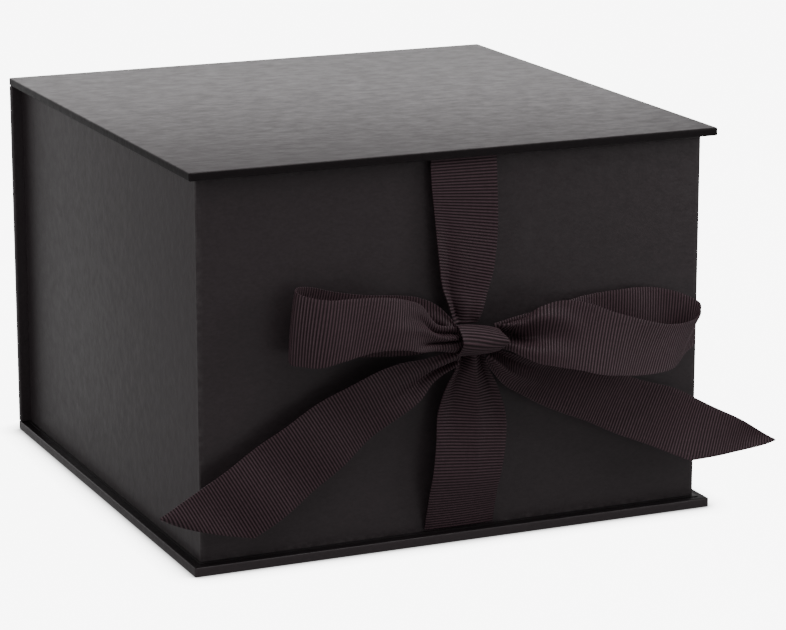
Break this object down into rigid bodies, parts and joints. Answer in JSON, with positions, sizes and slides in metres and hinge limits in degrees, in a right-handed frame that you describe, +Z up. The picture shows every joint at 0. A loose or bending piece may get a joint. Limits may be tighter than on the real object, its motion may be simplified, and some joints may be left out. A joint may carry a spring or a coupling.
{
  "type": "gift box",
  "caption": "Rigid book-style gift box with a hinged lid, a tray glued to its base and spine, and a wide ribbon tied in a front bow.",
  "frame": {"origin": "middle of the base board's underside, on the surface that the box stands on", "axes": "+Z up, +Y to the hinged back of the box, +X to the right of someone facing the bow"},
  "size_m": [0.2368, 0.2217, 0.141],
  "materials": {
    "greyboard": "matte grey recycled board",
    "cover_paper": "black paper with a fine fibre grain and a satin sheen",
    "lining_paper": "plain matte black paper",
    "stay_paper": "gummed kraft paper",
    "grosgrain_ribbon": "ribbed, dark plum, with a soft sheen"
  },
  "bodies": {
    "box": {"base_board": "greyboard", "spine_board": "greyboard", "tray_floor": "greyboard", "tray_left_wall": "greyboard", "tray_right_wall": "greyboard", "tray_front_wall": "greyboard", "tray_back_wall": "greyboard", "base_wrap": "cover_paper", "spine_wrap": "cover_paper", "tray_wrap": "cover_paper", "base_liner": "lining_paper", "tray_liner": "lining_paper", "floor_liner": "lining_paper", "corner_stay_front_left": "stay_paper", "corner_stay_front_right": "stay_paper", "corner_stay_back_right": "stay_paper", "corner_stay_back_left": "stay_paper", "base_ribbon_end": "grosgrain_ribbon"},
    "lid": {"lid_board": "greyboard", "lid_wrap": "cover_paper", "lid_liner": "lining_paper", "lid_ribbon_end": "grosgrain_ribbon"},
    "lid_ribbon": {"lid_strap": "grosgrain_ribbon"},
    "bow": {"base_strap": "grosgrain_ribbon", "bow_knot": "grosgrain_ribbon", "bow_left_loop": "grosgrain_ribbon", "bow_right_loop": "grosgrain_ribbon", "bow_left_tail": "grosgrain_ribbon", "bow_right_tail": "grosgrain_ribbon"}
  },
  "joints": [
    {"name": "lid_hinge", "type": "hinge", "parent": "box", "child": "lid", "pos_m": [0, 0.1, 0.13775], "axis": [-1, 0, 0], "range_deg": [0, 180]},
    {"name": "lid_ribbon_fold", "type": "hinge", "parent": "lid", "child": "lid_ribbon", "pos_m": [0.002, -0.097, 0.13775], "axis": [-1, 0, 0], "range_deg": [-90, 0]},
    {"name": "bow_fold", "type": "hinge", "parent": "box", "child": "bow", "pos_m": [0.002, -0.0957, 0.0041], "axis": [1, 0, 0], "range_deg": [0, 60]}
  ],
  "couplings": [
    {"joint": "lid_ribbon_fold", "follows": "lid_hinge", "ratio": -0.5}
  ]
}
